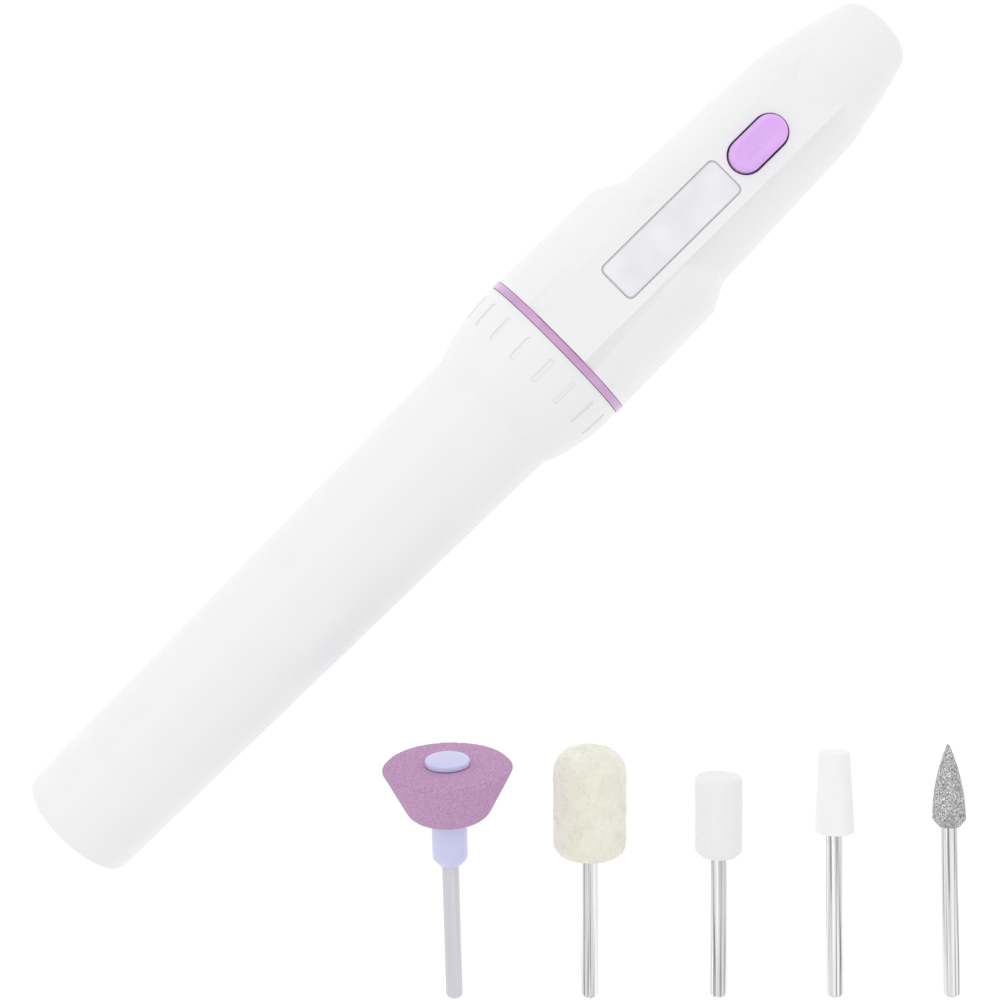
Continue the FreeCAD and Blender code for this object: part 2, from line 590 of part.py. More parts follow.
def make_button():
    """Button with a hidden flange below the shell and a pocket for its spring."""
    frame = spine_frame(d.button_x)
    body = new_body("switch_button")
    rim = d.flange_rim * 2
    flange = outlines(stadium(as_size(0), d.button_length + rim, d.button_width + rim))
    flange_floor = -d.flange_top - d.flange_thickness
    extruded(body, flange, "XY_Plane", flange_floor, d.flange_thickness, frame=frame)
    cap = outlines(stadium(as_size(0), d.button_length, d.button_width))
    extruded(body, cap, "XY_Plane", -d.flange_top, d.flange_top + d.button_rise, frame=frame)
    edge_names = [
        "Edge%d" % (number + 1) for number, edge in enumerate(body.Shape.Edges)
        if all(abs(frame.inverse().multVec(vertex.Point).z - d.button_rise.number) < EDGE_SLACK
               for vertex in edge.Vertexes)]
    cap_pad = body.Tip
    rounding = body.newObject("PartDesign::Fillet", "button_rounding")
    rounding.Base = (cap_pad, edge_names)
    rounding.Radius = d.button_edge.number
    rounding.setExpression("Radius", d.button_edge.text)
    document.recompute()
    pocket = circles((0, 0, d.spring_pocket_r))
    extruded(body, pocket, "XY_Plane", flange_floor, d.spring_pocket, cut=True, frame=frame)

    plunger = new_body("switch_plunger")
    plunger_end = d.spring_pocket + d.plunger_length
    extruded(plunger, circles((0, 0, d.plunger_r)), "XY_Plane", flange_floor - d.plunger_length,
             plunger_end, frame=frame)

    spring_length = d.switch_top + flange_floor + d.spring_pocket - d.spring_wire_r * 2
    seat = FreeCAD.Vector(0, 0, -d.switch_top.number + d.spring_wire_r.number)
    place = frame.multiply(FreeCAD.Placement(seat, FreeCAD.Rotation()))
    coil_spring("button_spring", place, spring_length, d.spring_r, d.spring_wire_r, d.spring_turns)


def make_switch():
    """Push switch on its circuit board, square to the spine."""
    frame = spine_frame(d.button_x)
    half = d.switch_side / 2
    body = new_body("switch_body")
    block = outlines(rectangle(-half, half, -half, half))
    floor = -d.switch_top - d.switch_height
    extruded(body, block, "XY_Plane", floor, d.switch_height, frame=frame)
    well = circles((0, 0, d.plunger_r + d.plunger_gap))
    extruded(body, well, "XY_Plane", floor + d.switch_floor, d.switch_height, cut=True, frame=frame)
    board = new_body("circuit_board")
    side = d.board_width / 2
    plate = outlines(rectangle(-d.board_back, d.board_length - d.board_back, -side, side))
    extruded(board, plate, "XY_Plane", floor - d.board_thickness, d.board_thickness, frame=frame)


# ---------------------------------------------------------------- motor

def flat_sided(radius, flat):
    """A round section with flats above and below, as small motors have."""
    half = chord_half(radius, flat)
    return [(half, -flat), (half, flat, radius), (-half, flat), (-half, -flat, radius)]


def make_motor():
    """Flat-sided direct-current motor: can, magnets, end cap, terminals and brushes."""
    can = new_body("motor_can")
    can_end = d.motor_x + d.motor_length
    extruded(can, outlines(flat_sided(d.motor_r, d.motor_flat)), "YZ_Plane", d.motor_x, d.motor_length)
    hollow = flat_sided(d.motor_r - d.motor_wall, d.motor_flat - d.motor_wall)
    extruded(can, outlines(hollow), "YZ_Plane", d.motor_x - PAST,
             d.motor_length - d.motor_wall + PAST, cut=True)
    extruded(can, circles((0, 0, d.motor_boss_r)), "YZ_Plane", can_end - d.motor_wall,
             d.motor_wall + d.motor_boss)
    bush = circles((0, 0, d.shaft_r + d.bush_gap))
    extruded(can, bush, "YZ_Plane", can_end - d.motor_wall - PAST,
             d.motor_wall + d.motor_boss + PAST * 2, cut=True)

    cap = new_body("motor_end_cap")
    cap_x = d.motor_x - d.end_cap
    extruded(cap, outlines(flat_sided(d.motor_r, d.motor_flat)), "YZ_Plane", cap_x, d.end_cap)
    inside = cap_x + d.end_cap_floor
    extruded(cap, circles((0, 0, d.brush_reach)), "YZ_Plane", inside, d.motor_x + PAST - inside, cut=True)

    magnets = new_body("motor_magnets")
    turned(magnets, rectangle(d.core_x, d.core_x + d.core_length, d.magnet_r,
                              d.motor_r - d.motor_wall))
    for side in (1, -1):
        far = d.motor_r * side
        near = d.magnet_half_height * side
        away = outlines(rectangle(-d.motor_r, d.motor_r, near, far))
        extruded(magnets, away, "YZ_Plane", d.core_x - PAST, d.core_length + PAST * 2, cut=True)

    terminals = new_body("motor_terminals")
    inner = d.terminal_y
    outer = d.terminal_y + d.terminal_thickness
    half = d.terminal_width / 2
    tabs = outlines(rectangle(inner, outer, -half, half), rectangle(-outer, -inner, -half, half))
    extruded(terminals, tabs, "YZ_Plane", cap_x - d.terminal_length, d.terminal_length)

    brushes = new_body("motor_brushes")
    near = d.commutator_r + d.brush_gap
    far = d.brush_reach - d.brush_gap * 2
    half = d.brush_length / 2
    blocks = outlines(rectangle(near, far, -half, half), rectangle(-far, -near, -half, half))
    extruded(brushes, blocks, "YZ_Plane", d.brush_x, d.brush_length)


def make_rotor():
    """Everything in the motor that turns: shaft, slotted core and commutator."""
    tube("rotor_shaft", d.shaft_x, d.shaft_end, d.shaft_r, 0)
    core = tube("rotor_core", d.core_x, d.core_x + d.core_length, d.core_r, d.shaft_r)
    half = d.core_slot / 2
    slot = outlines(rectangle(-half, half, d.core_r - d.core_slot_depth, d.core_r + PAST))
    cut = extruded(core, slot, "YZ_Plane", d.core_x - PAST, d.core_length + PAST * 2, cut=True)
    repeated(core, [cut], CORE_SLOTS)
    tube("commutator", d.commutator_x, d.commutator_x + d.commutator_length, d.commutator_r, d.shaft_r)


# ---------------------------------------------------------------- spindle

def make_spindle():
    """Sleeve that joins the motor to the spindle, the spindle and its slit chuck."""
    sleeve = new_body("coupling_sleeve")
    turned(sleeve, [
        (d.sleeve_x, d.shaft_r), (d.stub_x, d.shaft_r), (d.stub_x, d.stub_r), (d.sleeve_end, d.stub_r),
        (d.sleeve_end, d.sleeve_r), (d.sleeve_x, d.sleeve_r)])
    spindle = new_body("spindle_shaft")
    turned(spindle, [
        (d.stub_x, 0), (d.stub_x, d.stub_r), (d.spindle_x, d.stub_r), (d.spindle_x, d.spindle_r),
        (d.socket_back, d.spindle_r), (d.socket_back, d.chuck_r), (d.chuck_ring_x, d.chuck_r),
        (d.chuck_ring_x, d.collet_r), (d.chuck_x, d.collet_r), (d.chuck_x, 0)])
    collet = tube("collet", d.chuck_x, d.collet_end, d.collet_r, d.shank_r)
    half = d.collet_slit / 2
    slit = outlines(rectangle(-half, half, d.shank_r / 2, d.collet_r + PAST))
    cut = extruded(collet, slit, "YZ_Plane", d.collet_end - d.collet_slit_depth,
                   d.collet_slit_depth + PAST, cut=True)
    repeated(collet, [cut], COLLET_SLITS)
    tube("collet_ring", d.chuck_ring_x, d.collet_end, d.chuck_r, d.collet_r)


def make_bearing():
    """Deep-groove ball bearing that carries the front of the spindle."""
    end = d.bearing_x + d.bearing_width
    centre = d.bearing_x + d.bearing_width / 2
    race = d.ball_r + d.race_gap
    outer = tube("bearing_outer_ring", d.bearing_x, end, d.bearing_r, d.race_outer_r)
    race_groove(outer, centre, d.pitch_r, race)
    inner = tube("bearing_inner_ring", d.bearing_x, end, d.race_inner_r, d.spindle_r)
    race_groove(inner, centre, d.pitch_r, race)
    balls = new_body("bearing_balls")
    sketch = new_sketch(balls, "XZ_Plane")
    draw_outline(sketch, [
        (centre + d.ball_r, d.pitch_r), (centre - d.ball_r, d.pitch_r, d.ball_r)])
    ball = balls.newObject("PartDesign::Revolution", "ball_turn")
    ball.Profile = sketch
    ball.ReferenceAxis = (sketch, ["Edge1"])
    document.recompute()
    repeated(balls, [ball], BALL_COUNT)


# ---------------------------------------------------------------- wires

def wire_run(points, bend, radius):
    """A round wire along straight runs that are joined by tangent arcs."""
    edges = []
    start = points[0]
    for before, corner, after in zip(points, points[1:], points[2:]):
        towards = (before - corner).normalize()
        onwards = (after - corner).normalize()
        half_angle = towards.getAngle(onwards) / 2
        reach = bend / math.tan(half_angle)
        middle = (towards + onwards).normalize()
        centre = corner + middle * (bend / math.sin(half_angle))
        arc_start, arc_end = corner + towards * reach, corner + onwards * reach
        edges.append(Part.LineSegment(start, arc_start).toShape())
        edges.append(Part.Arc(arc_start, centre - middle * bend, arc_end).toShape())
        start = arc_end
    edges.append(Part.LineSegment(start, points[-1]).toShape())
    path = Part.Wire(edges)
    section = Part.Wire(Part.Circle(points[0], points[1] - points[0], radius).toShape())
    solid = path.makePipeShell([section], True, True)
    expected = math.pi * radius ** 2 * path.Length
    print("wire: length %.1f mm, bend radius %.2f mm, volume %.2f of %.2f mm3"
          % (path.Length, bend, solid.Volume, expected))
    return solid


def make_wires():
    """Battery and motor leads to the circuit board, each pair one node."""
    radius, bend, height = d.wire_r.number, d.wire_bend.number, d.wire_z.number
    board_face = -d.switch_top.number - d.switch_height.number
    board = spine_frame(d.button_x)
    along = (d.wire_end_x.number - d.button_x.number) / math.cos(math.radians(d.spine_slope.number))
    board_z = board.multVec(FreeCAD.Vector(along, 0, board_face)).z
    end_x = d.wire_end_x.number
    web_face = d.web_x.number + d.web_thickness.number
    runs = {"power_wires": [], "motor_wires": []}
    for side in (1, -1):
        y = d.power_wire_y.number * side
        runs["power_wires"].append([
            FreeCAD.Vector(web_face, y, height), FreeCAD.Vector(end_x, y, height),
            FreeCAD.Vector(end_x, y, board_z)])
        y = d.motor_wire_y.number * side
        terminal_x = d.motor_wire_x.number
        runs["motor_wires"].append([
            FreeCAD.Vector(terminal_x, y, d.motor_wire_z.number), FreeCAD.Vector(terminal_x, y, height),
            FreeCAD.Vector(end_x, y, height), FreeCAD.Vector(end_x, y, board_z)])
    for label, routes in runs.items():
        feature = document.addObject("Part::Feature", label)
        feature.Label = label
        feature.Shape = Part.makeCompound([wire_run(route, bend, radius) for route in routes])
        finished[label] = feature


# ---------------------------------------------------------------- bits

def make_shank(label, end):
    body = new_body(label)
    turned(body, [
        (0, 0), (0, d.shank_r - d.shank_tip), (d.shank_tip, d.shank_r, -d.shank_tip),
        (end, d.shank_r), (end, 0)])


def make_disc_bit():
    """Flared pumice pad on a plastic hub with a domed cap."""
    make_shank("disc_shank", d.hub_x + d.seat_depth)
    pad = new_body("disc_pad")
    turned(pad, [
        (d.pad_x, d.hub_stem_r), (d.pad_x, d.pad_foot_r), (d.pad_side_x, d.pad_side_r, -d.pad_foot_curve),
        (d.pad_end - d.pad_edge, d.pad_large_r),
        (d.pad_end, d.pad_large_r - d.pad_edge, d.pad_edge), (d.pad_end, d.hub_stem_r)])
    hub = new_body("disc_hub")
    cap_side = d.pad_end + d.cap_edge
    turned(hub, [
        (d.hub_x, d.shank_r), (d.hub_x, d.hub_foot_r), (d.hub_x + d.hub_foot, d.hub_r),
        (d.pad_x, d.hub_r), (d.pad_x, d.hub_stem_r), (d.pad_end, d.hub_stem_r), (d.pad_end, d.cap_r),
        (cap_side, d.cap_r), (d.pad_end + d.cap_height, d.cap_flat_r, -d.cap_curve),
        (d.pad_end + d.cap_height, 0), (d.hub_x + d.seat_depth, 0), (d.hub_x + d.seat_depth, d.shank_r)])


def seated_head(label, start, outer):
    """A solid head turned from its outer line, with a blind seat for the shank."""
    body = new_body(label)
    turned(body, [(start, d.shank_r)] + outer + [(start + d.seat_depth, 0),
                                                (start + d.seat_depth, d.shank_r)])


def make_felt_bit():
    make_shank("felt_shank", d.felt_x + d.seat_depth)
    seated_head("felt_head", d.felt_x, [
        (d.felt_x, d.felt_r - d.felt_foot), (d.felt_x + d.felt_foot, d.felt_r, -d.felt_foot),
        (d.felt_end - d.felt_dome, d.felt_r), (d.felt_end, d.felt_flat_r, -d.felt_dome_curve),
        (d.felt_end, 0)])


def make_cylinder_bit():
    make_shank("cylinder_shank", d.cylinder_x + d.seat_depth)
    edge = d.cylinder_edge
    seated_head("cylinder_head", d.cylinder_x, [
        (d.cylinder_x, d.cylinder_r - d.cylinder_chamfer), (d.cylinder_x + d.cylinder_chamfer, d.cylinder_r),
        (d.cylinder_end - edge, d.cylinder_r), (d.cylinder_end, d.cylinder_r - edge, -edge),
        (d.cylinder_end, 0)])


def make_cone_bit():
    make_shank("cone_shank", d.cone_x + d.seat_depth)
    edge = d.cone_edge
    seated_head("cone_head", d.cone_x, [
        (d.cone_x, d.cone_large_r - edge), (d.cone_x + edge, d.cone_large_r, -edge),
        (d.cone_end - edge, d.cone_small_r), (d.cone_end, d.cone_small_r - edge, -edge),
        (d.cone_end, 0)])


def make_diamond_bit():
    make_shank("diamond_shank", d.flame_x + d.seat_depth)
    seated_head("diamond_head", d.flame_x, [
        (d.flame_x, d.flame_base_r), (d.flame_wide_x, d.flame_r),
        (d.flame_end - d.flame_tip_r, d.flame_tip_r, -d.flame_side_curve), (d.flame_end, 0)])


# ---------------------------------------------------------------- layout

def resting_tilt():
    """The nose-up tilt, in degrees, at which the tail rim and the collar both touch the table."""
    reach = d.collar_x.number - d.tail_rim.number
    rise = d.collar_r.number - d.tail_edge_r.number
    angle = 0.0
    for _ in range(TILT_ROUNDS):
        angle = math.asin((rise * math.cos(angle) - d.tail_rim.number) / reach)
    return math.degrees(angle)


def drill_placement():
    tilt = resting_tilt()
    turn = FreeCAD.Rotation(FreeCAD.Vector(0, 1, 0), -tilt)
    lowest = turn.multVec(FreeCAD.Vector(d.collar_x.number, 0, -d.collar_r.number)).z
    return FreeCAD.Placement(FreeCAD.Vector(d.drill_x.number, d.drill_y.number, -lowest), turn)


def bit_placement(place, yaw, touch_x, touch_r):
    """A bit on the table: its shank end in the row, its head resting on its widest line."""
    row = math.radians(d.row_angle.number)
    pitch = math.atan((touch_r.number - d.shank_r.number) / touch_x.number)
    across = FreeCAD.Vector(math.sin(row), -math.cos(row), 0) * place.number
    back = FreeCAD.Vector(-math.cos(row), -math.sin(row), 0) * d.row_back.number
    lift = FreeCAD.Vector(0, 0, d.shank_r.number * math.cos(pitch))
    heading = FreeCAD.Rotation(FreeCAD.Vector(0, 0, 1), d.row_angle.number + yaw.number)
    nose_up = FreeCAD.Rotation(FreeCAD.Vector(0, 1, 0), -math.degrees(pitch))
    return FreeCAD.Placement(across + back + lift, heading.multiply(nose_up))


def bit_placements():
    """Place of each bit, resting on the widest line of its head."""
    cylinder_x = d.cylinder_x + d.cylinder_chamfer
    return {
        "disc": bit_placement(d.disc_place, d.disc_yaw, d.pad_end - d.pad_edge, d.pad_large_r),
        "felt": bit_placement(d.felt_place, d.felt_yaw, d.felt_x + d.felt_foot, d.felt_r),
        "cylinder": bit_placement(d.cylinder_place, d.cylinder_yaw, cylinder_x, d.cylinder_r),
        "cone": bit_placement(d.cone_place, d.cone_yaw, d.cone_x + d.cone_edge, d.cone_large_r),
        "diamond": bit_placement(d.diamond_place, d.diamond_yaw, d.flame_wide_x, d.flame_r)}


def place_everything():
    drill = drill_placement()
    bits = bit_placements()
    for label, piece in finished.items():
        family = label.split("_")[0]
        placement = bits.get(family, drill)
        piece.Placement = placement.multiply(piece.Placement)
    document.recompute()


make_battery_cover()
make_collar()
make_bulkhead()
make_cradle()
make_cells()
make_contacts()
make_upper_shell()
make_lower_shell()
make_screws()
make_label_plate()
make_button()
make_switch()
make_motor()
make_rotor()
make_spindle()
make_bearing()
make_wires()
make_disc_bit()
make_felt_bit()
make_cylinder_bit()
make_cone_bit()
make_diamond_bit()
place_everything()

for item in document.Objects:
    if "Invalid" in item.State or "Error" in item.State:
        raise RuntimeError("%s could not be built: %s" % (item.Label, item.State))
for label, piece in finished.items():
    if piece.Shape.isNull() or not piece.Shape.isValid():
        raise RuntimeError("%s has no valid shape" % label)
os.makedirs("parts", exist_ok=True)
for label, piece in finished.items():
    piece.Shape.exportStep("parts/%s.step" % label)
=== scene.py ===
import json
import math
import random

import bmesh
import bpy
import numpy as np
from mathutils import Matrix, Vector, noise


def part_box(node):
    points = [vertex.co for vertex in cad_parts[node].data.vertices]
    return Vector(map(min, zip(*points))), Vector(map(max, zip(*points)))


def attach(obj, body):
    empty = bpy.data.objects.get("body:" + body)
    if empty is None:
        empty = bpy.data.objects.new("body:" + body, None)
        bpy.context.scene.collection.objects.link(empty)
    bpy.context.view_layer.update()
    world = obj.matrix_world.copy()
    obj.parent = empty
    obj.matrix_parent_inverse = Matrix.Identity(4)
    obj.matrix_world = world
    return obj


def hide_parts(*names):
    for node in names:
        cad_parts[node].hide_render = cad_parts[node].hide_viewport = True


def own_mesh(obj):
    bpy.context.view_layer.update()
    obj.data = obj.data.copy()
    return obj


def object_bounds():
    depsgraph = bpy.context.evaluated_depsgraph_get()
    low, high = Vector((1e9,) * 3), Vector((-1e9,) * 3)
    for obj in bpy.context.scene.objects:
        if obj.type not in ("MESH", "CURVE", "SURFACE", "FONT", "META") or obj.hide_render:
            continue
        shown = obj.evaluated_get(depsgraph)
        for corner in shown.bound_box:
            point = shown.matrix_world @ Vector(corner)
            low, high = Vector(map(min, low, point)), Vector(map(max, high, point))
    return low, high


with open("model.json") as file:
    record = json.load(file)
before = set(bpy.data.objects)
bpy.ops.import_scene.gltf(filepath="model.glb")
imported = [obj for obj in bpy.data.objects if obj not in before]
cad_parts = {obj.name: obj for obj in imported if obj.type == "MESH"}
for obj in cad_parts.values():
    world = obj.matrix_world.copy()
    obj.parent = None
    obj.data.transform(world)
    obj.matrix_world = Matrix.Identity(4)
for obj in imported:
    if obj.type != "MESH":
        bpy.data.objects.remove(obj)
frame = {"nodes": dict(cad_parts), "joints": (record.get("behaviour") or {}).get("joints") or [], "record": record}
cad_box = [list(corner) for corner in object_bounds()]

MM = 0.001
SEED = Vector((3.7, 1.9, 8.3))

# Camera: straight above the set, rolled so that the drill points up and to the right.
CAMERA_HEIGHT = 0.3135
CAMERA_OFFSET = (-0.00487, 0.04831)
CAMERA_ROLL = -44.73
CAMERA_LENS = 61.0
SENSOR_WIDTH = 36.0

# Surroundings: brightness against the sine of the elevation.
SKY_LEVELS = ((0.0, 0.62), (0.1, 0.75), (0.25, 0.97), (0.9, 0.97), (0.985, 0.75))

FLOOR_HALF_SIZE = 12.0
FLOOR_TONE = 0.12
FLOOR_GLOW = 0.935

# A long thin lamp parallel to the drill, above it and off to the side away from the bits.
KEY_PLACE = (0.0, 0.75, 0.85)
KEY_TARGET = (0.0, 0.0, 0.0)
KEY_LENGTH = 2.0
KEY_WIDTH = 0.1
KEY_POWER = 1.4

# Colours of the mouldings.
WHITE = (0.88, 0.88, 0.882)
RING_PURPLE = (0.70, 0.41, 0.72)
BUTTON_PURPLE = (0.79, 0.46, 0.97)
LAVENDER = (0.65, 0.665, 0.91)
PUMICE_PINK = (0.52, 0.312, 0.505)

# Steel shanks: tones of the draw streak lines against the texture's value, partly draw marks and partly painted
# reflection (the darkest tones a painted dark reflection, the brightest a painted highlight), and the turned ends.
STREAK_AND_REFLECTION_LEVELS = ((0.36, 0.35), (0.43, 0.85), (0.56, 1.0), (0.66, 1.3))
LATHE_STEPS = 96
CORNER_STEPS = 8
SHANK_ROUND = 0.9 * MM
SHANK_EDGE = 0.1 * MM
# Turn of each shank about its own axis in degrees, which only sets where its painted reflection lines fall.
SHANK_TURNS = (("felt", 20), ("cylinder", 75), ("cone", 140), ("diamond", 155))

# Button: its outline is taken from the crown under its top. A dish lies inside a plain rim, with
# a sloping band between them, and is carved only near the top.
CROWN_HEIGHT = 1.2 * MM
DISH_HEIGHT = 0.5 * MM
DISH_DEPTH = 0.3 * MM
DISH_RIM = 0.75 * MM
DISH_SLOPE = 1.5 * MM

# Label: the thin grey line along its edge.
LABEL_CORNER = 1.1 * MM
LINE_MARGIN = 0.02 * MM
LINE_WIDTH = 0.2 * MM
LINE_RISE = 0.012 * MM

# Felt: loose fibres, their run along the skin and lift off it in millimetres, and none rooted
# within a small height of the table.
FUZZ_SEED = 7
FUZZ_COUNT = 5000
FUZZ_WIDTH = 0.012 * MM
FUZZ_RUN = (0.3, 0.7)
FUZZ_LIFT = (0.05, 0.28)
FUZZ_FLOOR = 0.6 * MM


# ---------------------------------------------------------------- material helpers

class Shader:
    """A node material with one Principled shader and small helpers to wire textures to it."""

    def __init__(self, name, color, roughness, metallic=0.0):
        self.material = bpy.data.materials.new(name)
        self.material.use_nodes = True
        self.nodes = self.material.node_tree.nodes
        self.links = self.material.node_tree.links
        self.shader = self.nodes["Principled BSDF"]
        self.set("Base Color", (*color, 1.0))
        self.set("Roughness", roughness)
        self.set("Metallic", metallic)
        self.place = self.nodes.new("ShaderNodeTexCoord").outputs["Object"]
        self.bump_before = None

    def set(self, socket, value):
        self.shader.inputs[socket].default_value = value

    def stretched(self, sizes, turn=(0.0, 0.0, 0.0)):
        """Object coordinates turned and divided by sizes, in metres, for grain that runs one way."""
        mapping = self.nodes.new("ShaderNodeMapping")
        mapping.vector_type = "TEXTURE"
        mapping.inputs["Rotation"].default_value = [math.radians(angle) for angle in turn]
        mapping.inputs["Scale"].default_value = sizes
        self.links.new(self.place, mapping.inputs["Vector"])
        return mapping.outputs["Vector"]

    def noise(self, grain, detail=4.0, rough=0.55, place=None, distortion=0.0):
        """Soft noise whose features are about one grain across, in metres."""
        texture = self.nodes.new("ShaderNodeTexNoise")
        texture.inputs["Scale"].default_value = 1.0 / grain
        texture.inputs["Detail"].default_value = detail
        texture.inputs["Roughness"].default_value = rough
        texture.inputs["Distortion"].default_value = distortion
        self.links.new(place or self.place, texture.inputs["Vector"])
        return texture.outputs["Fac"]

    def cells(self, grain, feature="F1"):
        """Voronoi cells of about one grain across, in metres."""
        texture = self.nodes.new("ShaderNodeTexVoronoi")
        texture.feature = feature
        texture.inputs["Scale"].default_value = 1.0 / grain
        self.links.new(self.place, texture.inputs["Vector"])
        return texture

    def ramp(self, factor, stops):
        """Colours along a factor, from (position, colour) stops."""
        ramp = self.nodes.new("ShaderNodeValToRGB")
        elements = ramp.color_ramp.elements
        while len(elements) < len(stops):
            elements.new(0.5)
        for element, (position, color) in zip(elements, stops):
            element.position = position
            element.color = (*color, 1.0)
        self.links.new(factor, ramp.inputs["Fac"])
        return ramp.outputs["Color"]

    def spread(self, factor, low, high, start=0.3, end=0.7):
        """A factor mapped on to a range of values."""
        mapped = self.nodes.new("ShaderNodeMapRange")
        mapped.inputs["From Min"].default_value = start
        mapped.inputs["From Max"].default_value = end
        mapped.inputs["To Min"].default_value = low
        mapped.inputs["To Max"].default_value = high
        self.links.new(factor, mapped.inputs["Value"])
        return mapped.outputs["Result"]

    def color(self, output):
        """Take the base colour from an output."""
        self.links.new(output, self.shader.inputs["Base Color"])

    def roughness(self, output):
        """Take the roughness from an output."""
        self.links.new(output, self.shader.inputs["Roughness"])

    def bump(self, height, depth, strength=1.0):
        """Add relief of about the given depth, in metres, on top of any relief before it."""
        bump = self.nodes.new("ShaderNodeBump")
        bump.inputs["Distance"].default_value = depth
        bump.inputs["Strength"].default_value = strength
        self.links.new(height, bump.inputs["Height"])
        if self.bump_before is not None:
            self.links.new(self.bump_before, bump.inputs["Normal"])
        self.bump_before = bump.outputs["Normal"]
        self.links.new(self.bump_before, self.shader.inputs["Normal"])


def tinted(color, factor):
    """A colour made darker or lighter by a factor."""
    return tuple(min(1.0, channel * factor) for channel in color)


def moulded_plastic(name, color, roughness, variation, relief=0.004 * MM, coat=0.0, subsurface=0.0,
                    gloss=0.5):
    """Injection-moulded plastic: cloudy colour, fine spark-eroded skin and faint flow marks."""
    shader = Shader(name, color, roughness)
    cloud = shader.noise(9 * MM, detail=5.0)
    shader.color(shader.ramp(cloud, [(0.3, tinted(color, 1.0 - variation)), (0.7, color)]))
    shader.roughness(shader.spread(shader.noise(4 * MM), roughness - 0.05, roughness + 0.06))
    shader.bump(shader.noise(0.35 * MM, detail=2.0), relief)
    shader.bump(shader.noise(14 * MM, detail=1.0), relief * 3)
    shader.set("Specular IOR Level", gloss)
    shader.set("Coat Weight", coat)
    shader.set("Coat Roughness", 0.18)
    if subsurface:
        shader.set("Subsurface Weight", subsurface)
        shader.set("Subsurface Radius", (1.0, 0.7, 1.0))
        shader.set("Subsurface Scale", 1.2 * MM)
    return shader.material


def ground_steel(name, color, roughness, metallic=1.0, contrast=1.0):
    """Ground bar, its axis along Z: fine lines round it, lengthwise draw streak lines whose colour is partly
    painted reflection (dark lines and bright highlights standing in for mirrored surroundings), a dull patina.
    """
    shader = Shader(name, color, roughness, metallic)
    rings = shader.noise(1.0, detail=3.0, place=shader.stretched((2.0 * MM, 2.0 * MM, 0.06 * MM)))
    streak_and_reflection = shader.noise(1.0, detail=2.0, place=shader.stretched((0.55 * MM, 0.55 * MM, 45 * MM)))
    patina = shader.noise(3 * MM, detail=4.0)
    # Base colour along the streak noise: draw marks, with painted dark reflection lines at its low end and painted
    # highlights at its high end.
    stops = [(position, tinted(color, 1.0 + (level - 1.0) * contrast))
             for position, level in STREAK_AND_REFLECTION_LEVELS]
    shader.color(shader.ramp(streak_and_reflection, stops))
    shader.roughness(shader.spread(patina, roughness - 0.05, roughness + 0.07))
    shader.bump(rings, 0.002 * MM)
    shader.bump(streak_and_reflection, 0.02 * MM)
    return shader.material


def turned_metal(name, color, roughness=0.3):
    """Turned or pressed metal with fine tool marks and slight tarnish."""
    shader = Shader(name, color, roughness, metallic=1.0)
    patina = shader.noise(2.5 * MM, detail=5.0)
    shader.color(shader.ramp(patina, [(0.3, tinted(color, 0.78)), (0.7, color)]))
    shader.roughness(shader.spread(patina, roughness - 0.08, roughness + 0.12))
    shader.bump(shader.noise(0.12 * MM, detail=2.0), 0.004 * MM)
    return shader.material


def pumice(name, color, dark, pale, rosy, bluish):
    """Bonded pumice: open pores, crumbs of several tints and no gloss."""
    shader = Shader(name, color, 0.9)
    crumbs = shader.noise(0.32 * MM, detail=5.0, rough=0.7)
    clouds = shader.noise(0.7 * MM, detail=3.0)
    mix = shader.nodes.new("ShaderNodeMix")
    mix.data_type = "RGBA"
    mix.inputs["Factor"].default_value = 0.4
    fine = shader.ramp(crumbs, [(0.39, dark), (0.47, color), (0.54, color), (0.62, pale)])
    wide = shader.ramp(clouds, [(0.32, rosy), (0.5, color), (0.68, bluish)])
    shader.links.new(fine, mix.inputs[6])
    shader.links.new(wide, mix.inputs[7])
    shader.color(mix.outputs[2])
    pores = shader.cells(0.5 * MM).outputs["Distance"]
    shader.bump(pores, 0.05 * MM, 0.7)
    shader.bump(crumbs, 0.06 * MM)
    shader.set("Specular IOR Level", 0.2)
    return shader.material


def pressed_felt(name, color, dark, pale):
    """Pressed wool felt: crossing fibres, soft sheen and yellowish clouds."""
    shader = Shader(name, color, 0.95)
    clouds = shader.noise(4.5 * MM, detail=4.0)
    thin, long = 0.14 * MM, 0.8 * MM
    along = shader.noise(1.0, detail=3.0, distortion=0.8,
                         place=shader.stretched((thin, long, thin), (20, 10, 50)))
    across = shader.noise(1.0, detail=3.0, distortion=0.8,
                          place=shader.stretched((long, thin, thin), (0, 30, 20)))
    shader.color(shader.ramp(clouds, [(0.28, dark), (0.5, color), (0.75, pale)]))
    shader.bump(along, 0.05 * MM, 0.8)
    shader.bump(across, 0.05 * MM, 0.8)
    shader.set("Sheen Weight", 0.5)
    shader.set("Sheen Roughness", 0.6)
    shader.set("Specular IOR Level", 0.15)
    shader.set("Subsurface Weight", 0.2)
    shader.set("Subsurface Radius", (1.0, 0.95, 0.8))
    shader.set("Subsurface Scale", 0.8 * MM)
    return shader.material


def fine_stone(name, color):
    """White bonded abrasive: sugar-fine grain with tiny bright and dull grains."""
    shader = Shader(name, color, 0.75)
    grains = shader.noise(0.18 * MM, detail=5.0, rough=0.75)
    clouds = shader.noise(5 * MM, detail=3.0)
    shader.color(shader.ramp(grains, [(0.3, tinted(color, 0.93)), (0.55, color),
                                      (0.8, tinted(color, 1.04))]))
    shader.roughness(shader.spread(clouds, 0.65, 0.85))
    shader.bump(grains, 0.03 * MM, 0.8)
    shader.set("Subsurface Weight", 0.15)
    shader.set("Subsurface Scale", 0.6 * MM)
    return shader.material


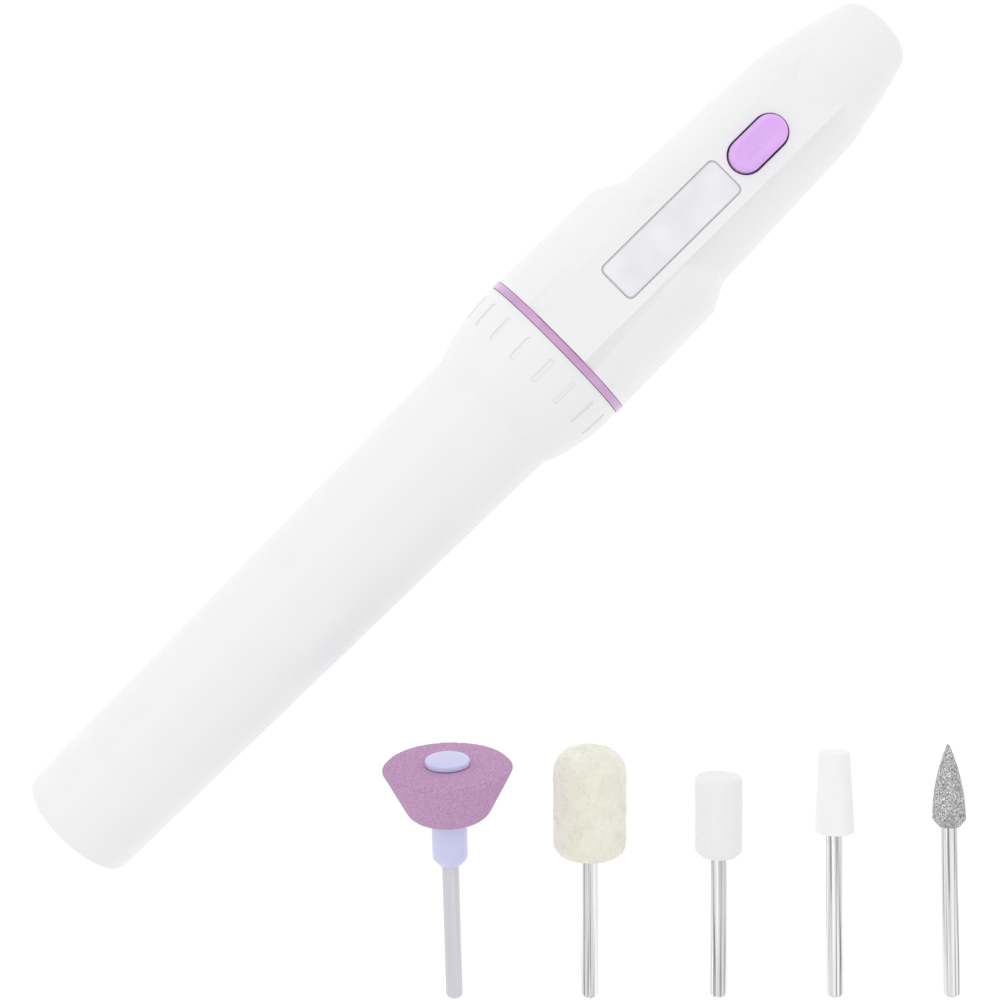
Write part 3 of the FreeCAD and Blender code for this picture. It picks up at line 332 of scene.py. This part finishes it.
def diamond_grit(name, color):
    """Diamond grit plated on steel: crowded crystals of mixed brightness with sharp glints."""
    shader = Shader(name, color, 0.35, metallic=0.85)
    crystals = shader.cells(0.16 * MM)
    tone = shader.nodes.new("ShaderNodeSeparateColor")
    shader.links.new(crystals.outputs["Color"], tone.inputs["Color"])
    stops = [(0.0, tinted(color, 0.35)), (0.3, tinted(color, 0.75)), (0.7, color),
             (1.0, (0.95, 0.95, 0.95))]
    shader.color(shader.ramp(tone.outputs["Red"], stops))
    shader.roughness(shader.spread(tone.outputs["Green"], 0.15, 0.6, 0.0, 1.0))
    shader.bump(crystals.outputs["Distance"], 0.05 * MM)
    return shader.material


def foil_label(name, color):
    """Thin satin foil with a faint lengthwise brush."""
    shader = Shader(name, color, 0.42)
    brush = shader.noise(1.0, detail=3.0, place=shader.stretched((8 * MM, 0.2 * MM, 0.2 * MM)))
    clouds = shader.noise(6 * MM, detail=2.0)
    shader.color(shader.ramp(clouds, [(0.35, tinted(color, 0.96)), (0.65, tinted(color, 1.04))]))
    shader.roughness(shader.spread(brush, 0.36, 0.5))
    shader.bump(brush, 0.002 * MM)
    return shader.material


def printed_film(name, color, band):
    """Shrink film on a cell: a plain coloured sleeve with fine wrinkles."""
    shader = Shader(name, color, 0.28)
    wrinkles = shader.noise(1.0, detail=4.0, place=shader.stretched((1.1 * MM, 8 * MM, 8 * MM)))
    clouds = shader.noise(12 * MM, detail=2.0)
    shader.color(shader.ramp(clouds, [(0.35, color), (0.65, band)]))
    shader.bump(wrinkles, 0.01 * MM)
    shader.set("Coat Weight", 0.5)
    return shader.material


def sintered(name, color):
    """Sintered or carbon pieces: dark, granular and dull."""
    shader = Shader(name, color, 0.6)
    grains = shader.noise(0.25 * MM, detail=5.0, rough=0.7)
    shader.color(shader.ramp(grains, [(0.3, tinted(color, 0.6)), (0.7, tinted(color, 1.3))]))
    shader.bump(grains, 0.02 * MM)
    return shader.material


def solder_mask(name, color):
    """Circuit board: green mask over faint copper tracks."""
    shader = Shader(name, color, 0.3)
    tracks = shader.cells(1.6 * MM, feature="DISTANCE_TO_EDGE").outputs["Distance"]
    shader.color(shader.ramp(tracks, [(0.04, tinted(color, 1.8)), (0.07, color)]))
    shader.bump(tracks, 0.01 * MM)
    return shader.material


def wire_skin(name, color):
    """Soft wire insulation with small scuffs."""
    shader = Shader(name, color, 0.45)
    scuffs = shader.noise(0.8 * MM, detail=4.0)
    shader.color(shader.ramp(scuffs, [(0.3, tinted(color, 0.75)), (0.7, tinted(color, 1.1))]))
    shader.bump(scuffs, 0.01 * MM)
    return shader.material


# ---------------------------------------------------------------- mesh helpers

def new_piece(name, mesh, material, body):
    """A smooth-shaded piece that rides on a body."""
    piece = bpy.data.objects.new(name, mesh)
    bpy.context.scene.collection.objects.link(piece)
    piece.data.materials.clear()
    piece.data.materials.append(material)
    piece.data.shade_smooth()
    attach(piece, body)
    return piece


def finished_mesh(name, shape):
    """A mesh from a bmesh, its faces turned outwards."""
    bmesh.ops.recalc_face_normals(shape, faces=shape.faces)
    mesh = bpy.data.meshes.new(name)
    shape.to_mesh(mesh)
    shape.free()
    return mesh


def unique_points(node):
    """The corner points of a CAD node, each one once."""
    points = np.array([vertex.co[:] for vertex in frame["nodes"][node].data.vertices])
    return np.unique(points.round(6), axis=0)


def local_points(node, place):
    """A node's corner points in a frame of their own."""
    back = place.inverted()
    return np.array([(back @ Vector(point))[:] for point in unique_points(node)])


def plate_frame(node):
    """Frame of a flat node at its centre: X its long way, Y across it, Z up out of it."""
    points = unique_points(node)
    centre = points.mean(axis=0)
    long, _, thin = np.linalg.svd(points - centre)[2]
    up = Vector(thin) * (1.0 if thin[2] > 0 else -1.0)
    along = Vector(long)
    turn = Matrix((along, up.cross(along), up)).transposed().to_4x4()
    return Matrix.Translation(centre) @ turn


def tool_frame(bit):
    """Frame of a bit: origin at the centre of the shank's free end, Z along it to the head."""
    points = unique_points(bit + "_shank")
    centre = points.mean(axis=0)
    axis = np.linalg.svd(points - centre)[2][0]
    low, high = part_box(bit + ("_pad" if bit == "disc" else "_head"))
    head = (np.array(low) + np.array(high)) / 2
    axis *= np.sign(axis @ (head - centre))
    start = centre + axis * ((points - centre) @ axis).min()
    along = Vector(axis)
    side = along.cross(Vector((0.0, 0.0, 1.0))).normalized()
    turn = Matrix((side, along.cross(side), along)).transposed().to_4x4()
    return Matrix.Translation(start) @ turn


def lathe(name, profile, place, material, body):
    """A turned piece: a profile of (radius, height) points swept about the Z axis of its frame."""
    shape = bmesh.new()
    rings = []
    for radius, height in profile:
        if radius < 1e-7:
            rings.append([shape.verts.new((0.0, 0.0, height))])
            continue
        angles = (math.tau * step / LATHE_STEPS for step in range(LATHE_STEPS))
        rings.append([shape.verts.new((radius * math.cos(a), radius * math.sin(a), height))
                      for a in angles])
    for lower, upper in zip(rings, rings[1:]):
        for step in range(LATHE_STEPS):
            corners = [lower[step % len(lower)], lower[(step + 1) % len(lower)],
                       upper[(step + 1) % len(upper)], upper[step % len(upper)]]
            shape.faces.new(list(dict.fromkeys(corners)))
    piece = new_piece(name, finished_mesh(name, shape), material, body)
    piece.matrix_world = place
    return piece


def rounded_corner(radius, height, bend, turn, steps=CORNER_STEPS):
    """Points of a quarter round: turn +1 opens out of an end face, -1 closes towards one."""
    points = []
    for step in range(steps + 1):
        angle = math.pi / 2 * step / steps
        out, back = bend * math.sin(angle), bend * math.cos(angle)
        if turn > 0:
            points.append((radius - bend + out, height + bend - back))
        else:
            points.append((radius - bend + back, height - bend + out))
    return points


def worked_copy(node, name, voxel, relief, material, body, smoothing=3):
    """A fine copy of a CAD node whose skin is carved inwards by a relief function of the point."""
    source = frame["nodes"][node]
    copy = bpy.data.objects.new(name, source.data.copy())
    bpy.context.scene.collection.objects.link(copy)
    remesh = copy.modifiers.new("fine", "REMESH")
    remesh.mode = "VOXEL"
    remesh.voxel_size = voxel
    smooth = copy.modifiers.new("even", "SMOOTH")
    smooth.factor = 0.5
    smooth.iterations = smoothing
    ready = copy.evaluated_get(bpy.context.evaluated_depsgraph_get())
    mesh = bpy.data.meshes.new_from_object(ready)
    bpy.data.objects.remove(copy)
    carved = [vertex.co - vertex.normal * relief(vertex.co) for vertex in mesh.vertices]
    mesh.vertices.foreach_set("co", np.array(carved, float).ravel())
    mesh.update()
    piece = new_piece(name, mesh, material, body)
    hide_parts(node)
    return piece


def layered(point, grain, octaves):
    """Fractal noise between 0 and about 1 with features one grain across."""
    return 0.5 + 0.5 * noise.fractal(point / grain + SEED, 1.0, 2.0, octaves)


def pumice_relief(point):
    """Open pores and a crumbly skin."""
    pores = noise.noise(point / (0.45 * MM) + SEED)
    return 0.05 * MM + 0.1 * MM * max(0.0, pores - 0.15) + 0.05 * MM * layered(point, 1.1 * MM, 3)


def felt_relief(point):
    """Soft lumps and short matted fibres."""
    return 0.08 * MM * layered(point, 2.6 * MM, 3) + 0.07 * MM * layered(point, 0.4 * MM, 2)


def stone_relief(point):
    """Fine grain over low waves."""
    return 0.04 * MM * layered(point, 0.5 * MM, 3) + 0.05 * MM * layered(point, 3 * MM, 2)


def grit_relief(point):
    """Crystals standing at different heights."""
    distances, _ = noise.voronoi(point / (0.24 * MM) + SEED)
    return 0.1 * MM * min(1.0, distances[0] * 1.4)


# ---------------------------------------------------------------- materials of the CAD nodes

white_plastic = moulded_plastic("white_plastic", WHITE, roughness=0.33, variation=0.015, gloss=0.4,
                                relief=0.0015 * MM)
purple_ring = moulded_plastic("purple_ring", RING_PURPLE, roughness=0.25, variation=0.25, coat=0.5)
purple_button = moulded_plastic("purple_button", BUTTON_PURPLE, roughness=0.3, variation=0.08,
                                coat=0.6, subsurface=0.25)
lavender_plastic = moulded_plastic("lavender_plastic", LAVENDER, roughness=0.42, variation=0.06,
                                   subsurface=0.35)
grey_plastic = moulded_plastic("grey_plastic", (0.52, 0.53, 0.55), roughness=0.5, variation=0.1)
dark_plastic = moulded_plastic("dark_plastic", (0.03, 0.025, 0.035), roughness=0.5, variation=0.2)
label_foil = foil_label("label", (0.84, 0.83, 0.875))
label_line = moulded_plastic("label_line", (0.60, 0.60, 0.63), roughness=0.5, variation=0.08)
battery_film = printed_film("battery_wrap", (0.10, 0.13, 0.22), (0.14, 0.18, 0.3))
spring_steel = turned_metal("spring_steel", (0.75, 0.74, 0.70))
motor_steel = turned_metal("motor_steel", (0.58, 0.58, 0.60))
copper = turned_metal("copper", (0.80, 0.42, 0.26))
brass = turned_metal("brass", (0.80, 0.62, 0.30))
magnet = sintered("magnet", (0.06, 0.06, 0.065))
board_green = solder_mask("board_green", (0.02, 0.14, 0.06))
wire_red = wire_skin("wire_red", (0.50, 0.03, 0.03))
wire_blue = wire_skin("wire_blue", (0.03, 0.06, 0.40))
bit_steel = ground_steel("bit_steel", (0.80, 0.80, 0.80), roughness=0.25)
satin_steel = ground_steel("satin_steel", (0.67, 0.66, 0.705), roughness=0.5, metallic=0.5,
                           contrast=0.15)

NODE_MATERIALS = {
    "white_plastic": white_plastic, "purple_ring": purple_ring, "purple_button": purple_button,
    "lavender_plastic": lavender_plastic, "grey_plastic": grey_plastic, "dark_plastic": dark_plastic,
    "label": label_foil, "battery_wrap": battery_film, "spring_steel": spring_steel,
    "motor_steel": motor_steel, "copper": copper, "brass": brass, "magnet": magnet,
    "board_green": board_green, "wire_red": wire_red, "wire_blue": wire_blue, "bit_steel": bit_steel}


def paint_nodes():
    """Give every CAD node the material of its slot in the record."""
    for subpart in frame["record"]["subparts"]:
        material = NODE_MATERIALS.get(subpart["material_slot"])
        if material is None:
            continue
        node = frame["nodes"][subpart["node"]]
        if not node.material_slots:
            node.data.materials.append(material)
        for slot in node.material_slots:
            slot.material = material


def make_shank(bit, material, turn):
    """A ground shank with a rounded free end, turned about its axis by an angle in degrees, which sets where its
    painted reflection lines fall.
    """
    place = tool_frame(bit) @ Matrix.Rotation(math.radians(turn), 4, "Z")
    local = local_points(bit + "_shank", place)
    radius = float(np.hypot(local[:, 0], local[:, 1]).max())
    length = float(local[:, 2].max())
    profile = [(0.0, 0.0)] + rounded_corner(radius, 0.0, SHANK_ROUND, 1)
    profile += rounded_corner(radius, length, SHANK_EDGE, -1, steps=2) + [(0.0, length)]
    piece = lathe(bit + "_bar", profile, place, material, bit + "_bit")
    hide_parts(bit + "_shank")


def make_fuzz(felt, material):
    """Loose fibres standing a little off the felt's skin."""
    draw = random.Random(FUZZ_SEED)
    points, faces = [], []
    for _ in range(FUZZ_COUNT):
        root = felt.data.vertices[draw.randrange(len(felt.data.vertices))]
        if root.co.z < FUZZ_FLOOR:
            continue
        loose = Vector([draw.uniform(-1.0, 1.0) for _ in range(3)])
        flat = (loose - root.normal * loose.dot(root.normal)).normalized()
        run = flat * draw.uniform(*FUZZ_RUN) * MM
        lift = root.normal * draw.uniform(*FUZZ_LIFT) * MM
        side = run.cross(lift).normalized() * FUZZ_WIDTH
        first = len(points)
        for place in (root.co, root.co + run * 0.5 + lift, root.co + run + lift * 0.6):
            points += [place - side, place + side, place + lift.normalized() * FUZZ_WIDTH]
        for start in (first, first + 3):
            for step in range(3):
                after = (step + 1) % 3
                faces.append((start + step, start + after, start + 3 + after, start + 3 + step))
        faces += [(first + 2, first + 1, first), (first + 6, first + 7, first + 8)]
    mesh = bpy.data.meshes.new("felt_fuzz")
    mesh.from_pydata(points, [], faces)
    new_piece("felt_fuzz", mesh, material, "felt_bit")


def make_button_cap():
    """The button with a dished top inside a raised rim."""
    place = plate_frame("switch_button")
    back = place.inverted()
    points = local_points("switch_button", place)
    top = points[:, 2].max()
    crown = points[points[:, 2] > top - CROWN_HEIGHT]
    half_width = float(crown[:, 1].max())
    straight = float(crown[:, 0].max()) - half_width

    def dish(point):
        u, v, w = back @ point
        if w < top - DISH_HEIGHT:
            return 0.0
        inside = half_width - math.hypot(max(abs(u) - straight, 0.0), v)
        depth = min(1.0, max(0.0, (inside - DISH_RIM) / DISH_SLOPE))
        return DISH_DEPTH * depth * depth * (3.0 - 2.0 * depth)

    worked_copy("switch_button", "button_cap", 0.1 * MM, dish, purple_button, "button")


def make_return_spring():
    """The button's spring as a copied piece of its own that rides on the root."""
    source = frame["nodes"]["button_spring"]
    piece = new_piece("return_spring", source.data.copy(), spring_steel, "root")
    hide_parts("button_spring")
    press = next(joint for joint in frame["joints"] if joint["name"] == "button_press")
    points = unique_points("button_spring")
    reach = points @ np.array(press["axis"])
    points[reach.argmax()].tolist()
    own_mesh(piece)


def make_label_line():
    """A thin grey line round the edge of the label plate."""
    place = plate_frame("label_plate")
    points = local_points("label_plate", place)
    half_length, half_width, top = (float(value) for value in points.max(axis=0))
    loops = []
    for inset in (LINE_MARGIN, LINE_MARGIN + LINE_WIDTH):
        bend = LABEL_CORNER - inset
        x, y = half_length - inset - bend, half_width - inset - bend
        loop = []
        for quarter, (sign_x, sign_y) in enumerate(((1, 1), (-1, 1), (-1, -1), (1, -1))):
            for step in range(CORNER_STEPS + 1):
                angle = math.pi / 2 * (quarter + step / CORNER_STEPS)
                loop.append((sign_x * x + bend * math.cos(angle), sign_y * y + bend * math.sin(angle)))
        loops.append(loop)
    shape = bmesh.new()
    outer, inner = loops
    low, high = top - LINE_RISE, top + LINE_RISE
    rings = [[shape.verts.new((x, y, height)) for x, y in loop]
             for loop, height in ((outer, low), (outer, high), (inner, high), (inner, low))]
    for ring, after in zip(rings, rings[1:] + rings[:1]):
        for step in range(len(ring)):
            ahead = (step + 1) % len(ring)
            shape.faces.new((ring[step], ring[ahead], after[ahead], after[step]))
    piece = new_piece("label_line", finished_mesh("label_line", shape), label_line, "root")
    piece.data.shade_flat()
    piece.matrix_world = place


def make_bit_heads():
    """Finely worked heads in place of the plain CAD ones."""
    pink = pumice("pink_pumice", PUMICE_PINK, tinted(PUMICE_PINK, 0.6), tinted(PUMICE_PINK, 1.5),
                  (0.62, 0.31, 0.47), (0.43, 0.33, 0.56))
    worked_copy("disc_pad", "pumice_pad", 0.16 * MM, pumice_relief, pink, "disc_bit")
    wool = pressed_felt("felt", (0.86, 0.85, 0.73), (0.82, 0.81, 0.67), (0.91, 0.90, 0.81))
    # The loose fibres get a paler copy of the felt colours, a painted brightness that offsets the shade the thin
    # fibres would show.
    fibres = pressed_felt("fibres", (0.95, 0.94, 0.89), (0.93, 0.92, 0.86), (0.97, 0.96, 0.92))
    felt = worked_copy("felt_head", "felt_cone", 0.2 * MM, felt_relief, wool, "felt_bit")
    make_fuzz(felt, fibres)
    worked_copy("disc_hub", "moulded_hub", 0.12 * MM, lambda point: 0.0, lavender_plastic, "disc_bit",
                smoothing=25)
    stone = fine_stone("white_stone", (0.87, 0.87, 0.87))
    bright_stone = fine_stone("bright_stone", (0.92, 0.92, 0.915))
    worked_copy("cylinder_head", "cylinder_stone", 0.16 * MM, stone_relief, stone, "cylinder_bit")
    worked_copy("cone_head", "cone_stone", 0.14 * MM, stone_relief, bright_stone, "cone_bit")
    grit = diamond_grit("diamond_grit", (0.50, 0.50, 0.505))
    worked_copy("diamond_head", "diamond_flame", 0.07 * MM, grit_relief, grit, "diamond_bit")


# ---------------------------------------------------------------- stage

def make_floor():
    """A wide white table that glows a little, so that it stays white round the pieces."""
    mesh = bpy.data.meshes.new("floor")
    shape = bmesh.new()
    bmesh.ops.create_grid(shape, x_segments=1, y_segments=1, size=FLOOR_HALF_SIZE)
    shape.to_mesh(mesh)
    shape.free()
    floor = bpy.data.objects.new("floor", mesh)
    bpy.context.scene.collection.objects.link(floor)
    shader = Shader("floor", (FLOOR_TONE, FLOOR_TONE, FLOOR_TONE), 0.9)
    shader.set("Emission Color", (1.0, 1.0, 1.0, 1.0))
    shader.set("Emission Strength", FLOOR_GLOW)
    mesh.materials.append(shader.material)


def make_world():
    """Soft white surroundings, a little darker towards the horizon."""
    world = bpy.data.worlds.new("studio")
    world.use_nodes = True
    bpy.context.scene.world = world
    nodes, links = world.node_tree.nodes, world.node_tree.links
    place = nodes.new("ShaderNodeTexCoord")
    split = nodes.new("ShaderNodeSeparateXYZ")
    ramp = nodes.new("ShaderNodeValToRGB")
    for position, _ in SKY_LEVELS[2:]:
        ramp.color_ramp.elements.new(position)
    for element, (position, level) in zip(ramp.color_ramp.elements, SKY_LEVELS):
        element.position = position
        element.color = (level, level, level, 1.0)
    links.new(place.outputs["Generated"], split.inputs["Vector"])
    links.new(split.outputs["Z"], ramp.inputs["Fac"])
    links.new(ramp.outputs["Color"], nodes["Background"].inputs["Color"])
    nodes["Background"].inputs["Strength"].default_value = 1.0


def make_key_light():
    """The lamp that draws the bright streak along the mouldings."""
    data = bpy.data.lights.new("key", "AREA")
    data.shape = "RECTANGLE"
    data.size = KEY_LENGTH
    data.size_y = KEY_WIDTH
    data.energy = KEY_POWER
    light = bpy.data.objects.new("key", data)
    light.location = KEY_PLACE
    light.rotation_euler = (Vector(KEY_TARGET) - Vector(KEY_PLACE)).to_track_quat("-Z", "Y").to_euler()
    bpy.context.scene.collection.objects.link(light)


def make_camera():
    """The camera looks straight down from above the middle of the CAD box."""
    low, high = (Vector(corner) for corner in cad_box)
    centre = (low + high) / 2
    data = bpy.data.cameras.new("camera")
    data.lens = CAMERA_LENS
    data.sensor_width = SENSOR_WIDTH
    data.clip_start = 0.01
    camera = bpy.data.objects.new("camera", data)
    camera.location = (centre.x + CAMERA_OFFSET[0], centre.y + CAMERA_OFFSET[1], CAMERA_HEIGHT)
    camera.rotation_euler = (0.0, 0.0, math.radians(CAMERA_ROLL))
    bpy.context.scene.collection.objects.link(camera)
    bpy.context.scene.camera = camera


def make_stage():
    """Table, surroundings, lamp and camera."""
    make_floor()
    make_world()
    make_key_light()
    make_camera()
    bpy.context.scene.view_settings.view_transform = "Standard"


paint_nodes()
make_shank("disc", satin_steel, 0)
for bit_name, turned_by in SHANK_TURNS:
    make_shank(bit_name, bit_steel, turned_by)
make_bit_heads()
make_button_cap()
make_return_spring()
make_label_line()
make_stage()
